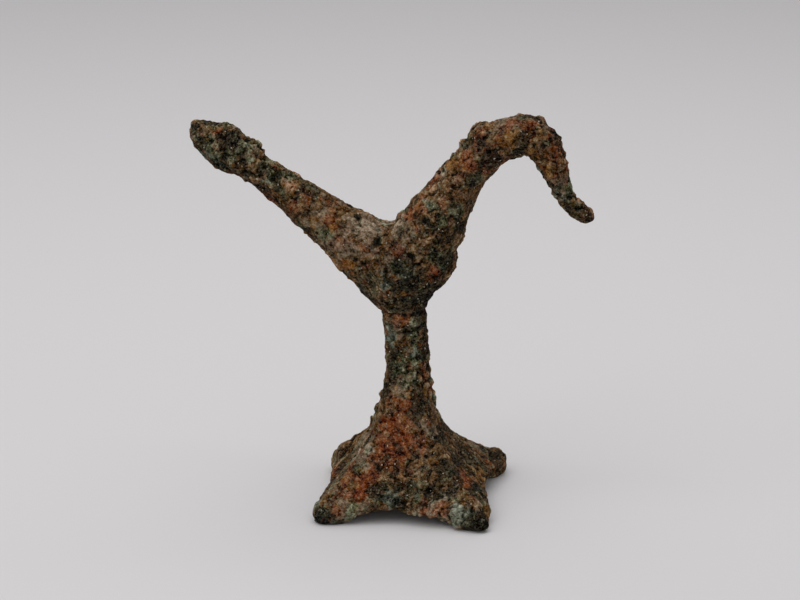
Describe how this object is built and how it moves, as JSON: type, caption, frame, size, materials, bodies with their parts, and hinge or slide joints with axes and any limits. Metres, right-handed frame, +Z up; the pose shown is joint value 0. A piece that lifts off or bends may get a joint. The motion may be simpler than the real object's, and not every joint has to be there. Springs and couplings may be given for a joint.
{
  "type": "bird figurine",
  "caption": "Cast bronze bird with a raised tail, long neck and down-turned bill, on a round stem that flares into a hollow foot with corner toes; a small free-standing ornament.",
  "frame": {"origin": "on the ground under the middle of the figurine's length and breadth", "axes": "+X towards the head, +Z up, -Y the bird's right side"},
  "size_m": [0.079, 0.0364, 0.0792],
  "materials": {
    "patina": "dull granular bronze corrosion, brown with green, orange and grey patches"
  },
  "bodies": {
    "root": {"bird_figurine": "patina"}
  },
  "joints": []
}
